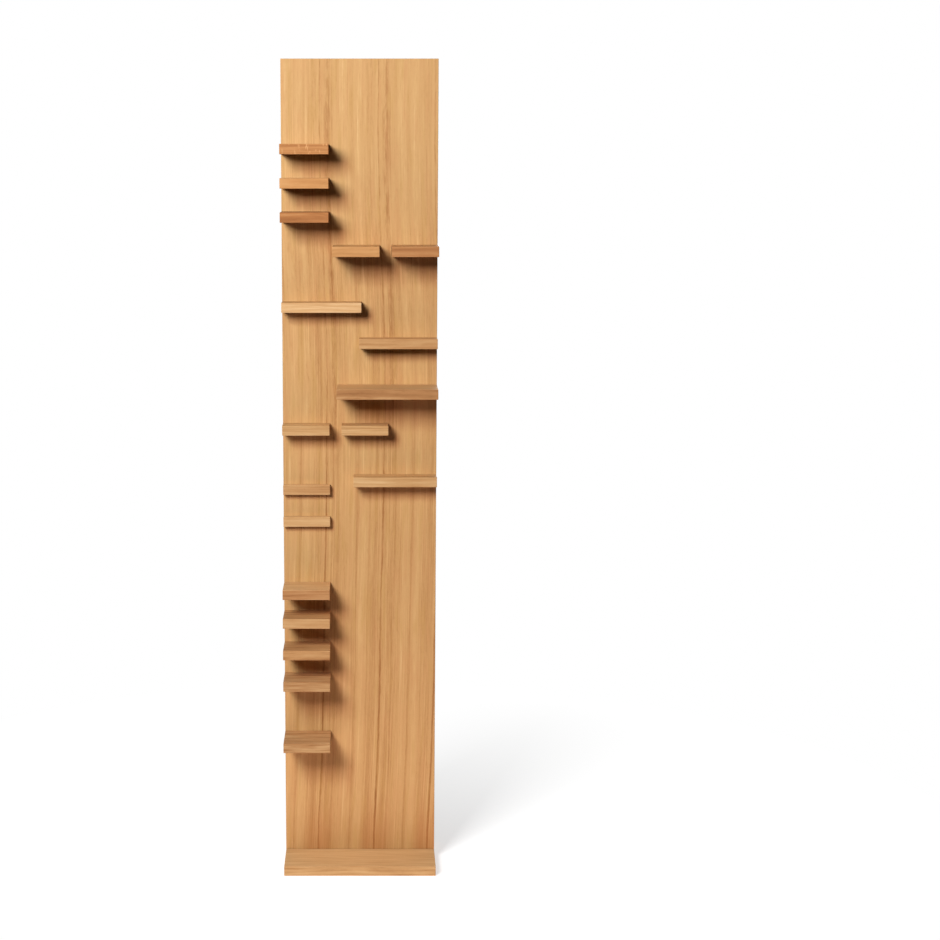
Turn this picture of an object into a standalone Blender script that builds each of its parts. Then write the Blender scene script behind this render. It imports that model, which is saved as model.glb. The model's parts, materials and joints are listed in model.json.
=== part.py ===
"""Oak shelf: a tall veneered panel standing on a base board, with eighteen shelves screwed on from behind.

Units are metres. X runs to the right, Y from the front to the back and Z up from the floor.
"""

import math
from collections import namedtuple

import bmesh
import bpy
from mathutils import Matrix, Vector

# Boards
PANEL_WIDTH = 0.340
PANEL_THICKNESS = 0.022
TOP_MARGIN = 0.181
SHELF_THICKNESS = 0.022
BASE_THICKNESS = 0.022
BASE_FRONT_REACH = 0.108
BASE_REAR_REACH = 0.090
EDGE_EASING = 0.0008
JOINT_GAP = 0.0003

# Depths of the shelves, from the panel's face to their front edge
LEDGE_DEPTH = 0.016
SLIM_DEPTH = 0.044
UPPER_DEPTH = 0.083
LOWER_DEPTH = 0.084
DEEP_DEPTH = 0.098

# Lengths of the shelves, along the panel's width
SHORT_LENGTH = 0.104
PAIR_LENGTH = 0.101
MIDDLE_LENGTH = 0.103
UPPER_LONG_LENGTH = 0.174
LOWER_LONG_LENGTH = 0.171
LONGEST_LENGTH = 0.220
PAIR_GAP = 0.026
LEDGE_GAP = 0.052

# Rises from the top of one level to the top of the next, from the floor up
FOOT_RISE = 0.283
TALL_RISE = 0.137
CLOSE_RISE = 0.072
TIGHT_RISE = 0.065
WAIST_RISE = 0.151
BELOW_LONGEST_RISE = 0.086
ABOVE_LONGEST_RISE = 0.104
LONG_PAIR_RISE = 0.079
SHOULDER_RISE = 0.123

# Countersunk wood screws
SHANK_RADIUS = 0.0020
HEAD_RADIUS = 0.0040
HEAD_LAND = 0.0004
HEAD_SINK = 0.0003
TIP_LENGTH = 0.004
SCREW_BITE = 0.018
BASE_SCREW_BITE = 0.028
LEDGE_FRONT_WALL = 0.006
SCREW_CLEARANCE = 0.0003
PILOT_END_CLEARANCE = 0.001
SCREW_INSET = 0.022
SHELF_SCREW_COUNT = 2
BASE_SCREW_COUNT = 4
RECESS_SPAN = 0.0038
RECESS_WIDTH = 0.0011
RECESS_DEPTH = 0.0014
ROUND_SIDES = 16
SHARP_ANGLE = math.radians(40)

# Cutters run this far past the faces that they open, and points this close are one
CUT_MARGIN = 0.002
WELD_DISTANCE = 1e-6

# A screw is driven along -Y into the shelves, and turned this way it is driven up
DRIVEN_FORWARD = Matrix.Identity(4)
DRIVEN_UP = Matrix.Rotation(-math.pi / 2, 4, "X")

# A board's face on this axis's zero plane is the one that meets its neighbour
REAR_JOINT = "y"
FOOT_JOINT = "z"

# Colours as seen, red, green and blue from 0 to 255
VENEER_OAK = (213, 163, 111)
PALE_OAK = (226, 181, 129)
HONEY_OAK = (211, 163, 109)
WARM_OAK = (204, 152, 100)
BROWN_OAK = (188, 135, 88)
ZINC_STEEL = (196, 194, 186)
OAK_ROUGHNESS = 0.55
STEEL_ROUGHNESS = 0.35

# Heights of the tops of the levels
BASE_TOP = BASE_THICKNESS
LEVEL_18 = BASE_TOP + FOOT_RISE
LEVEL_17 = LEVEL_18 + TALL_RISE
LEVEL_16 = LEVEL_17 + CLOSE_RISE
LEVEL_15 = LEVEL_16 + CLOSE_RISE
LEVEL_14 = LEVEL_15 + TIGHT_RISE
LEVEL_13 = LEVEL_14 + WAIST_RISE
LEVEL_12 = LEVEL_13 + CLOSE_RISE
LEVEL_11 = LEVEL_12 + SHELF_THICKNESS
LEVEL_09 = LEVEL_12 + TALL_RISE
LEVEL_08 = LEVEL_09 + BELOW_LONGEST_RISE
LEVEL_07 = LEVEL_08 + ABOVE_LONGEST_RISE
LEVEL_06 = LEVEL_07 + LONG_PAIR_RISE
LEVEL_04 = LEVEL_06 + SHOULDER_RISE
LEVEL_03 = LEVEL_04 + CLOSE_RISE
LEVEL_02 = LEVEL_03 + CLOSE_RISE
LEVEL_01 = LEVEL_02 + CLOSE_RISE
OVERALL_HEIGHT = LEVEL_01 + TOP_MARGIN

# The origin is on the floor, at the middle of the object's width and depth
PANEL_LEFT = -PANEL_WIDTH / 2
PANEL_RIGHT = PANEL_WIDTH / 2
BASE_DEPTH = BASE_FRONT_REACH + PANEL_THICKNESS + BASE_REAR_REACH
BASE_BACK = BASE_DEPTH / 2
PANEL_BACK = BASE_BACK - BASE_REAR_REACH
PANEL_FRONT = PANEL_BACK - PANEL_THICKNESS
PANEL_FOOT = BASE_TOP + JOINT_GAP
SEAT = PANEL_FRONT - JOINT_GAP

# A screw in a ledge stops short of the ledge's front
LEDGE_SCREW_BITE = LEDGE_DEPTH - LEDGE_FRONT_WALL

# Left ends of the shelves that don't start at the panel's left edge
LEFT_COLUMN_END = PANEL_LEFT + SHORT_LENGTH
RIGHT_OF_PAIR = PANEL_RIGHT - PAIR_LENGTH
LEFT_OF_PAIR = RIGHT_OF_PAIR - PAIR_GAP - PAIR_LENGTH
MIDDLE_START = LEFT_COLUMN_END + PAIR_GAP
BESIDE_LEDGE_START = LEFT_COLUMN_END + LEDGE_GAP

Shelf = namedtuple("Shelf", "name left length depth top bite colour")

SHELVES = (
    Shelf("shelf_01_left", PANEL_LEFT, SHORT_LENGTH, UPPER_DEPTH, LEVEL_01, SCREW_BITE, WARM_OAK),
    Shelf("shelf_02_left", PANEL_LEFT, SHORT_LENGTH, UPPER_DEPTH, LEVEL_02, SCREW_BITE, HONEY_OAK),
    Shelf("shelf_03_left", PANEL_LEFT, SHORT_LENGTH, UPPER_DEPTH, LEVEL_03, SCREW_BITE, BROWN_OAK),
    Shelf("shelf_04_middle", LEFT_OF_PAIR, PAIR_LENGTH, DEEP_DEPTH, LEVEL_04, SCREW_BITE, HONEY_OAK),
    Shelf("shelf_05_right", RIGHT_OF_PAIR, PAIR_LENGTH, DEEP_DEPTH, LEVEL_04, SCREW_BITE, BROWN_OAK),
    Shelf("shelf_06_left", PANEL_LEFT, UPPER_LONG_LENGTH, SLIM_DEPTH, LEVEL_06, SCREW_BITE, PALE_OAK),
    Shelf(
        "shelf_07_right",
        PANEL_RIGHT - LOWER_LONG_LENGTH,
        LOWER_LONG_LENGTH,
        SLIM_DEPTH,
        LEVEL_07,
        SCREW_BITE,
        WARM_OAK,
    ),
    Shelf(
        "shelf_08_right",
        PANEL_RIGHT - LONGEST_LENGTH,
        LONGEST_LENGTH,
        DEEP_DEPTH,
        LEVEL_08,
        SCREW_BITE,
        BROWN_OAK,
    ),
    Shelf("shelf_09_left", PANEL_LEFT, SHORT_LENGTH, SLIM_DEPTH, LEVEL_09, SCREW_BITE, HONEY_OAK),
    Shelf("shelf_10_middle", MIDDLE_START, MIDDLE_LENGTH, SLIM_DEPTH, LEVEL_09, SCREW_BITE, HONEY_OAK),
    Shelf(
        "shelf_11_right",
        BESIDE_LEDGE_START,
        PANEL_RIGHT - BESIDE_LEDGE_START,
        SLIM_DEPTH,
        LEVEL_11,
        SCREW_BITE,
        HONEY_OAK,
    ),
    Shelf("shelf_12_ledge", PANEL_LEFT, SHORT_LENGTH, LEDGE_DEPTH, LEVEL_12, LEDGE_SCREW_BITE, WARM_OAK),
    Shelf("shelf_13_ledge", PANEL_LEFT, SHORT_LENGTH, LEDGE_DEPTH, LEVEL_13, LEDGE_SCREW_BITE, HONEY_OAK),
    Shelf("shelf_14_left", PANEL_LEFT, SHORT_LENGTH, LOWER_DEPTH, LEVEL_14, SCREW_BITE, BROWN_OAK),
    Shelf("shelf_15_left", PANEL_LEFT, SHORT_LENGTH, LOWER_DEPTH, LEVEL_15, SCREW_BITE, WARM_OAK),
    Shelf("shelf_16_left", PANEL_LEFT, SHORT_LENGTH, LOWER_DEPTH, LEVEL_16, SCREW_BITE, WARM_OAK),
    Shelf("shelf_17_left", PANEL_LEFT, SHORT_LENGTH, LOWER_DEPTH, LEVEL_17, SCREW_BITE, BROWN_OAK),
    Shelf("shelf_18_left", PANEL_LEFT, SHORT_LENGTH, DEEP_DEPTH, LEVEL_18, SCREW_BITE, BROWN_OAK),
)


def clear_scene():
    for item in list(bpy.data.objects):
        bpy.data.objects.remove(item, do_unlink=True)


def linear(channel):
    """One channel of a colour as seen, from 0 to 255, as the linear value that a shader takes."""
    share = channel / 255
    return share / 12.92 if share <= 0.04045 else ((share + 0.055) / 1.055) ** 2.4


def finish(name, colour, roughness, metallic=0.0):
    """A plain material in this colour."""
    material = bpy.data.materials.new(name)
    material.use_nodes = True
    shader = material.node_tree.nodes["Principled BSDF"]
    shader.inputs["Base Color"].default_value = (*map(linear, colour), 1.0)
    shader.inputs["Roughness"].default_value = roughness
    shader.inputs["Metallic"].default_value = metallic
    return material


def put(name, mesh, place, root, turn=DRIVEN_FORWARD):
    """An object of this mesh at this place, held by the root empty."""
    item = bpy.data.objects.new(name, mesh)
    bpy.context.collection.objects.link(item)
    item.parent = root
    item.matrix_local = Matrix.Translation(place) @ turn
    return item


def put_cutter(name, shape, root):
    """The shape as a wire helper that only cuts other pieces."""
    item = put(name, to_mesh(name, shape), Vector(), root)
    item.display_type = "WIRE"
    item.hide_render = True
    return item


def cut(item, name, cutter):
    modifier = item.modifiers.new(name, "BOOLEAN")
    modifier.operation = "DIFFERENCE"
    modifier.solver = "EXACT"
    modifier.object = cutter


def to_mesh(name, shape):
    bmesh.ops.recalc_face_normals(shape, faces=shape.faces)
    mesh = bpy.data.meshes.new(name)
    shape.to_mesh(mesh)
    shape.free()
    return mesh


def board(length, depth, height, joint_axis=None):
    """A board that runs from the origin along +X, -Y and +Z, its arrises eased.

    The edges of the face that meets its neighbour, if it has one, stay square.
    """
    shape = bmesh.new()
    bmesh.ops.create_cube(shape, size=1.0)
    centre = Vector((length / 2, -depth / 2, height / 2))
    bmesh.ops.transform(
        shape,
        matrix=Matrix.LocRotScale(centre, None, Vector((length, depth, height))),
        verts=shape.verts,
    )
    eased = [
        edge
        for edge in shape.edges
        if joint_axis is None
        or max(abs(getattr(corner.co, joint_axis)) for corner in edge.verts) > WELD_DISTANCE
    ]
    bmesh.ops.bevel(shape, geom=eased, offset=EDGE_EASING, segments=1, affect="EDGES")
    return shape


def add_turned(shape, profile, place, turn=DRIVEN_FORWARD):
    """Spins a profile of (radius, distance along -Y) about Y and adds it to the shape at this place."""
    corners = [shape.verts.new((radius, -along, 0.0)) for radius, along in profile]
    edges = [shape.edges.new(pair) for pair in zip(corners, corners[1:])]
    bmesh.ops.spin(
        shape,
        geom=corners + edges,
        cent=(0.0, 0.0, 0.0),
        axis=(0.0, 1.0, 0.0),
        angle=2 * math.pi,
        steps=ROUND_SIDES,
    )
    turned = [corner for corner in shape.verts if not corner.tag]
    bmesh.ops.remove_doubles(shape, verts=turned, dist=WELD_DISTANCE)
    turned = [corner for corner in shape.verts if not corner.tag]
    bmesh.ops.transform(shape, matrix=Matrix.Translation(place) @ turn, verts=turned)
    for corner in turned:
        corner.tag = True


def screw_profile(through, bite):
    """A screw that passes through one board, its head sunk in it, and bites into the next."""
    tip = through + JOINT_GAP + bite
    cone_top = HEAD_SINK + HEAD_LAND
    return (
        (0.0, HEAD_SINK),
        (HEAD_RADIUS, HEAD_SINK),
        (HEAD_RADIUS, cone_top),
        (SHANK_RADIUS, cone_top + HEAD_RADIUS - SHANK_RADIUS),
        (SHANK_RADIUS, tip - TIP_LENGTH),
        (0.0, tip),
    )


def countersunk_hole_profile(through):
    cone_top = HEAD_SINK + HEAD_LAND
    mouth = HEAD_RADIUS + SCREW_CLEARANCE
    bore = SHANK_RADIUS + SCREW_CLEARANCE
    return (
        (0.0, -CUT_MARGIN),
        (mouth, -CUT_MARGIN),
        (mouth, cone_top),
        (bore, cone_top + HEAD_RADIUS - SHANK_RADIUS),
        (bore, through + CUT_MARGIN),
        (0.0, through + CUT_MARGIN),
    )


def pilot_hole_profile(bite):
    bore = SHANK_RADIUS + SCREW_CLEARANCE
    return (
        (0.0, -CUT_MARGIN),
        (bore, -CUT_MARGIN),
        (bore, bite + PILOT_END_CLEARANCE),
        (0.0, bite + PILOT_END_CLEARANCE),
    )


def screw_mesh(name, through, bite, steel):
    """A countersunk wood screw with a cross recess, its head at the origin and its tip along -Y."""
    shape = bmesh.new()
    add_turned(shape, screw_profile(through, bite), Vector())
    blank = bpy.data.objects.new(name + "_blank", to_mesh(name + "_blank", shape))
    bpy.context.collection.objects.link(blank)
    helpers = [blank]
    floor = HEAD_SINK + RECESS_DEPTH
    for wide, tall in ((RECESS_SPAN, RECESS_WIDTH), (RECESS_WIDTH, RECESS_SPAN)):
        slot = bmesh.new()
        bmesh.ops.create_cube(slot, size=1.0)
        size = Vector((wide, floor + CUT_MARGIN, tall))
        middle = Vector((0.0, (CUT_MARGIN - floor) / 2, 0.0))
        bmesh.ops.transform(slot, matrix=Matrix.LocRotScale(middle, None, size), verts=slot.verts)
        helper = bpy.data.objects.new(name + "_slot", to_mesh(name + "_slot", slot))
        bpy.context.collection.objects.link(helper)
        cut(blank, "recess", helper)
        helpers.append(helper)
    graph = bpy.context.evaluated_depsgraph_get()
    mesh = bpy.data.meshes.new_from_object(blank.evaluated_get(graph))
    mesh.name = name
    for helper in helpers:
        bpy.data.objects.remove(helper, do_unlink=True)
    mesh.shade_smooth()
    mesh.set_sharp_from_angle(angle=SHARP_ANGLE)
    mesh.materials.append(steel)
    return mesh


def spread(left, length, count):
    """Places of screws along a board, the first and the last at the inset from its ends."""
    run = length - 2 * SCREW_INSET
    return [left + SCREW_INSET + run * step / (count - 1) for step in range(count)]


def add_shelf(shelf, screw, panel_holes, root):
    """One shelf seated on the panel's face, with its screws and the pilot holes that they bite into."""
    shape = board(shelf.length, shelf.depth, SHELF_THICKNESS, REAR_JOINT)
    corner = Vector((shelf.left, SEAT, shelf.top - SHELF_THICKNESS))
    item = put(shelf.name, to_mesh(shelf.name, shape), corner, root)
    item.data.materials.append(finish(shelf.name + "_oak", shelf.colour, OAK_ROUGHNESS))
    pilots = bmesh.new()
    middle = shelf.top - SHELF_THICKNESS / 2
    for number, across in enumerate(spread(shelf.left, shelf.length, SHELF_SCREW_COUNT), 1):
        add_turned(pilots, pilot_hole_profile(shelf.bite), Vector((across, SEAT, middle)))
        head = Vector((across, PANEL_BACK, middle))
        add_turned(panel_holes, countersunk_hole_profile(PANEL_THICKNESS), head)
        put(f"{shelf.name}_screw_{number}", screw, head, root)
    cut(item, "pilot_holes", put_cutter(shelf.name + "_pilots", pilots, root))


def add_panel(screw_holes, root):
    """The panel, with the countersunk holes of the shelves' screws in its back."""
    shape = board(PANEL_WIDTH, PANEL_THICKNESS, OVERALL_HEIGHT - PANEL_FOOT, FOOT_JOINT)
    corner = Vector((PANEL_LEFT, PANEL_BACK, PANEL_FOOT))
    panel = put("back_panel", to_mesh("back_panel", shape), corner, root)
    panel.data.materials.append(finish("back_panel_oak", VENEER_OAK, OAK_ROUGHNESS))
    cut(panel, "screw_holes", put_cutter("panel_screw_holes", screw_holes, root))
    return panel


def add_base(panel, screw, root):
    """The base board that the panel stands on, with its screws driven up into the panel's lower edge."""
    shape = board(PANEL_WIDTH, BASE_DEPTH, BASE_THICKNESS)
    corner = Vector((PANEL_LEFT, BASE_BACK, 0.0))
    base = put("base_board", to_mesh("base_board", shape), corner, root)
    base.data.materials.append(finish("base_board_oak", HONEY_OAK, OAK_ROUGHNESS))
    holes = bmesh.new()
    pilots = bmesh.new()
    middle = (PANEL_FRONT + PANEL_BACK) / 2
    for number, across in enumerate(spread(PANEL_LEFT, PANEL_WIDTH, BASE_SCREW_COUNT), 1):
        head = Vector((across, middle, 0.0))
        add_turned(holes, countersunk_hole_profile(BASE_THICKNESS), head, DRIVEN_UP)
        foot = Vector((across, middle, PANEL_FOOT))
        add_turned(pilots, pilot_hole_profile(BASE_SCREW_BITE), foot, DRIVEN_UP)
        put(f"base_board_screw_{number}", screw, head, root, DRIVEN_UP)
    cut(base, "screw_holes", put_cutter("base_screw_holes", holes, root))
    cut(panel, "pilot_holes", put_cutter("panel_pilot_holes", pilots, root))


def main():
    clear_scene()
    root = bpy.data.objects.new("wall_shelf", None)
    bpy.context.collection.objects.link(root)
    steel = finish("screw_steel", ZINC_STEEL, STEEL_ROUGHNESS, metallic=1.0)
    screws = {
        SCREW_BITE: screw_mesh("wood_screw", PANEL_THICKNESS, SCREW_BITE, steel),
        LEDGE_SCREW_BITE: screw_mesh("short_wood_screw", PANEL_THICKNESS, LEDGE_SCREW_BITE, steel),
    }
    screw_holes = bmesh.new()
    for shelf in SHELVES:
        add_shelf(shelf, screws[shelf.bite], screw_holes, root)
    panel = add_panel(screw_holes, root)
    add_base(panel, screw_mesh("base_screw", BASE_THICKNESS, BASE_SCREW_BITE, steel), root)
    print(f"{PANEL_WIDTH:.3f} x {BASE_DEPTH:.3f} x {OVERALL_HEIGHT:.3f} m, {len(SHELVES)} shelves")


main()
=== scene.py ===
# %% [markdown]
# # An oak shelf for small things
# The shelf is a tall panel of oak veneer that stands on a base board. Eighteen short boards of solid oak
# stick out of its front at uneven heights, held by wood screws from behind.
#
# The CAD model gives every size and place, so it is loaded first and never moved. This script only dresses
# it: each CAD node is replaced by a finer surface of the same size, and each surface gets its wood or metal.

import json
import math
from typing import NamedTuple

import bmesh
import bpy
import numpy as np
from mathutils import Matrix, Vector


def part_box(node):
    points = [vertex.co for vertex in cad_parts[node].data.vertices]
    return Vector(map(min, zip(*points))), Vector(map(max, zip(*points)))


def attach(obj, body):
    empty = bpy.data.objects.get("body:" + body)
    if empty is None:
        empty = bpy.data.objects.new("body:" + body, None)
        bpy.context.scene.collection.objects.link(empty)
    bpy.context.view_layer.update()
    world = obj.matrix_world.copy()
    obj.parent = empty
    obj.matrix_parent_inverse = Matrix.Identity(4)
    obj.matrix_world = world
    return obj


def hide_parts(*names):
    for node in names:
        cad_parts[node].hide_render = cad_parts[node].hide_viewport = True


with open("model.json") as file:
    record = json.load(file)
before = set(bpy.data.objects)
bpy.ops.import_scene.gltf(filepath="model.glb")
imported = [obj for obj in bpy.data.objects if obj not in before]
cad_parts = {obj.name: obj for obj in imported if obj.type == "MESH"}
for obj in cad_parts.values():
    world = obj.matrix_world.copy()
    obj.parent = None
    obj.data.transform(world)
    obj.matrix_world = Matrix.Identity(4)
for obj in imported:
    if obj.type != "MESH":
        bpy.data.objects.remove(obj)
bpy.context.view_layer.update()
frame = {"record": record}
slot_of = {row["node"]: row["material_slot"] for row in frame["record"]["subparts"]}
shelf_names = sorted(name for name in slot_of if name.startswith("shelf") and "screw" not in name)
screw_names = sorted(name for name in slot_of if "screw" in name)
panel_low, panel_high = (np.array(corner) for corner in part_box("back_panel"))
base_low, base_high = (np.array(corner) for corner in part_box("base_board"))

# %% [markdown]
# ## From arrays to a piece
# Every surface below is worked out as a grid of points, rows by columns. A closed grid wraps round in its
# columns, so one array of indices, shifted by one column, gives all its faces at once. Points that fall on
# one another, as at a pole, are merged, which turns the squeezed quads there into triangles.

# %% Grids and pieces
MERGE_DISTANCE = 1e-7


def wrapped_faces(rows, columns):
    """Quads of a grid whose last column joins its first: each takes the next column and the next row."""
    index = np.arange(rows * columns).reshape(rows, columns)
    beside = np.roll(index, -1, axis=1)
    return np.stack([index[1:], beside[1:], beside[:-1], index[:-1]], axis=-1).reshape(-1, 4).tolist()


def surface(name, points, faces):
    """A mesh object at the origin from points in metres, with doubles merged and shaded smooth."""
    mesh = bpy.data.meshes.new(name)
    mesh.from_pydata(points.reshape(-1, 3), [], faces)
    shape = bmesh.new()
    shape.from_mesh(mesh)
    bmesh.ops.remove_doubles(shape, verts=shape.verts, dist=MERGE_DISTANCE)
    shape.to_mesh(mesh)
    shape.free()
    mesh.shade_smooth()
    item = bpy.data.objects.new(name, mesh)
    bpy.context.scene.collection.objects.link(item)
    return item


def dress(item, node):
    """The piece stands for this CAD node, whose part it hides, and rides on the one body."""
    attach(item, "root")
    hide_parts(node)
    return item


print("a closed grid of 3 by 4 points has", len(wrapped_faces(3, 4)), "faces")

# %% [markdown]
# ## A board with softened arrises
# A planed board is a box, but its edges are sanded, and that thin bright line along each edge is what makes
# it read as wood and not as a drawing. A cube with a Bevel modifier would do. Here the rounded box is one
# formula instead: a small ball is cut into eight octants, and each octant is pushed out to its own corner of
# an inner box. The stretched cells between the octants are the flat faces and the round arrises.

# %% The board as a formula
ARRIS_RADIUS = 0.0009
ARRIS_STEPS = 4


def board(name, low, high):
    """Point = inner corner + arris radius x ball normal, over latitude (rows) and longitude (columns)."""
    turn = np.linspace(0.0, math.pi / 2, ARRIS_STEPS + 1)
    longitude = (np.arange(4)[:, None] * math.pi / 2 + turn).ravel()
    latitude = np.concatenate([math.pi / 2 - turn, -turn])[:, None]
    side = np.repeat([[1, 1], [-1, 1], [-1, -1], [1, -1]], ARRIS_STEPS + 1, axis=0)
    level = np.repeat([1, -1], ARRIS_STEPS + 1)[:, None]
    ones = np.ones_like(latitude * longitude)
    normal = np.stack(
        [np.cos(latitude) * np.cos(longitude), np.cos(latitude) * np.sin(longitude), np.sin(latitude) * ones],
        axis=-1,
    )
    corner = np.stack([side[:, 0] * ones, side[:, 1] * ones, level * ones], axis=-1)
    inner = (high - low) / 2 - ARRIS_RADIUS
    points = (low + high) / 2 + corner * inner + ARRIS_RADIUS * normal
    rows, columns = ones.shape
    top = list(range(0, columns, ARRIS_STEPS + 1))
    bottom = [(rows - 1) * columns + column for column in reversed(top)]
    return surface(name, points, wrapped_faces(rows, columns) + [top, bottom])


def even_shading(item):
    """Weighs each normal by its faces' areas, so that the flats stay flat beside the round arrises."""
    item.modifiers.new("even_shading", "WEIGHTED_NORMAL").keep_sharp = True


shelves = {}
for name in shelf_names:
    low, high = (np.array(corner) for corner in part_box(name))
    shelves[name] = dress(board(name + "_oak", low, high), name)
    even_shading(shelves[name])
print(len(shelves), "shelves of", len(shelves[shelf_names[0]].data.vertices), "points each")

# %% [markdown]
# ## Countersunk holes
# The screws come through the panel from behind, and up through the base from below. Their cone-shaped seats
# are turned surfaces: a profile of radius against depth, carried round a circle. A circle that runs the other
# way gives a mesh that is inside out, so a turned mesh has its normals recalculated. The holes are cut out of
# the boards with a Boolean, whose result is kept as the board's own mesh.

# %% Turned surfaces
SIDEWAYS = np.array([1.0, 0.0, 0.0])
CREASE_ANGLE = math.radians(35)


def carried_round(radius, along, angle, head, aim):
    """Point = head + aim x along + radius x (sideways, up) turned by the angle, for whole arrays at once."""
    up = np.cross(aim, SIDEWAYS)
    ring = np.cos(angle)[..., None] * SIDEWAYS + np.sin(angle)[..., None] * up
    return head + aim * along[..., None] + radius[..., None] * ring


def turn_outwards(item):
    """Makes all the faces of a closed mesh point outwards."""
    shape = bmesh.new()
    shape.from_mesh(item.data)
    bmesh.ops.recalc_face_normals(shape, faces=shape.faces)
    shape.to_mesh(item.data)
    shape.free()


def crease(item):
    """Shades the mesh smooth, but keeps the edges sharp that bend by more than the crease angle."""
    item.data.shade_smooth()
    item.data.set_sharp_from_angle(angle=CREASE_ANGLE)


def screw_place(name):
    """Where a screw's head sits, which way it is driven and how long it is, from its CAD node's box."""
    low, high = (np.array(corner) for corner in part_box(name))
    middle = (low + high) / 2
    if name.startswith("base"):
        return np.array([middle[0], middle[1], 0.0]), np.array([0.0, 0.0, 1.0]), high[2]
    back = panel_high[1]
    return np.array([middle[0], back, middle[2]]), np.array([0.0, -1.0, 0.0]), back - low[1]


print("first screw", *(np.round(value, 4) for value in screw_place(screw_names[0])))

# %% Holes in the panel and the base
HOLE_SIDES = 40
HEAD_RADIUS = 0.0040
HEAD_SINK = 0.0003
HEAD_LAND = 0.0004
SHANK_RADIUS = 0.0020
HOLE_CLEARANCE = 0.0003
HOLE_DEPTH = 0.009
CUT_MARGIN = 0.001


def hole_cutter(names):
    """All these screws' countersunk holes as one mesh: straight mouth, cone, then a short bore."""
    mouth, bore = HEAD_RADIUS + HOLE_CLEARANCE, SHANK_RADIUS + HOLE_CLEARANCE
    cone = HEAD_SINK + HEAD_LAND
    radius = np.array([0.0, mouth, mouth, bore, bore, 0.0])
    along = np.array([-CUT_MARGIN, -CUT_MARGIN, cone, cone + mouth - bore, HOLE_DEPTH, HOLE_DEPTH])
    angle = np.linspace(0.0, 2 * math.pi, HOLE_SIDES, endpoint=False)
    radius, along, angle = np.broadcast_arrays(radius[:, None], along[:, None], angle[None, :])
    grids = [carried_round(radius, along, angle, *screw_place(name)[:2]) for name in names]
    quads = np.array(wrapped_faces(*radius.shape))
    faces = np.concatenate([quads + radius.size * number for number in range(len(names))])
    return surface("hole_cutter", np.stack(grids), faces.tolist())


def cut_holes(item, names):
    """Takes the holes out of the board and keeps the result as its mesh."""
    cutter = hole_cutter(names)
    turn_outwards(cutter)
    modifier = item.modifiers.new("holes", "BOOLEAN")
    modifier.solver = "EXACT"
    modifier.object = cutter
    graph = bpy.context.evaluated_depsgraph_get()
    item.data = bpy.data.meshes.new_from_object(item.evaluated_get(graph))
    item.modifiers.clear()
    bpy.data.objects.remove(cutter)
    crease(item)
    even_shading(item)


panel = dress(board("panel_veneer", panel_low, panel_high), "back_panel")
cut_holes(panel, [name for name in screw_names if name.startswith("shelf")])
base = dress(board("base_oak", base_low, base_high), "base_board")
cut_holes(base, [name for name in screw_names if name.startswith("base")])
print("panel", len(panel.data.polygons), "faces, base", len(base.data.polygons), "faces")

# %% [markdown]
# ## Wood screws
# From behind, each shelf shows two screw heads. A head is a disc with a cross-shaped recess. Seen from its
# middle, a cross has one edge point in every direction, so its outline is a radius that depends on the
# angle: along an arm the arm's end stops it, and between two arms the arm's side does. Three rings follow
# that outline down to a smaller cross at the recess's floor. Below the head, the thread is a ridge on the
# shank, a triangle wave that climbs by one pitch in each turn.

# %% The screw as a formula
SCREW_COLUMNS = 40
ARM_LENGTH = 0.0019
ARM_HALF_WIDTH = 0.00055
LEAST_SINE = 1e-6
RECESS_DEPTH = 0.0014
RECESS_TAPER = 0.45
RIM_ROUNDING = 0.00012
THREAD_PITCH = 0.0018
THREAD_STEPS = 4
THREAD_CORE = 0.0013
PLAIN_SHANK = 0.010
TIP_LENGTH = 0.004


def cross_radius(angle):
    """How far the cross reaches in each direction: the nearer of the arm's end and the arm's side."""
    off_arm = np.abs((angle + math.pi / 4) % (math.pi / 2) - math.pi / 4)
    side = ARM_HALF_WIDTH / np.maximum(np.sin(off_arm), LEAST_SINE)
    return np.minimum(ARM_LENGTH / np.cos(off_arm), side)


def head_rings(angle):
    """Radius and depth of the head's rings, from the recess's middle out and over the rim to the cone."""
    cross = cross_radius(angle)
    even = np.ones_like(angle)
    cone_end = HEAD_SINK + HEAD_LAND + HEAD_RADIUS - SHANK_RADIUS
    rings = [
        (0.0 * even, HEAD_SINK + RECESS_DEPTH),
        (RECESS_TAPER * cross, HEAD_SINK + RECESS_DEPTH),
        (cross, HEAD_SINK),
        (even * (HEAD_RADIUS - RIM_ROUNDING), HEAD_SINK),
        (even * HEAD_RADIUS, HEAD_SINK + RIM_ROUNDING),
        (even * HEAD_RADIUS, HEAD_SINK + HEAD_LAND),
        (even * SHANK_RADIUS, cone_end),
    ]
    return np.stack([ring for ring, depth in rings]), np.array([depth for ring, depth in rings])


def thread_rings(angle, length):
    """Radius = core + ridge, where the ridge is a triangle wave of (depth / pitch - angle / full turn)."""
    depth = np.arange(PLAIN_SHANK, length, THREAD_PITCH / THREAD_STEPS)
    climb = depth[:, None] / THREAD_PITCH - angle[None, :] / (2 * math.pi)
    ridge = 1.0 - 2.0 * np.abs(climb % 1.0 - 0.5)
    taper = np.clip((length - depth) / TIP_LENGTH, 0.0, 1.0)[:, None]
    return taper * (THREAD_CORE + (SHANK_RADIUS - THREAD_CORE) * ridge), depth


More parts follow.
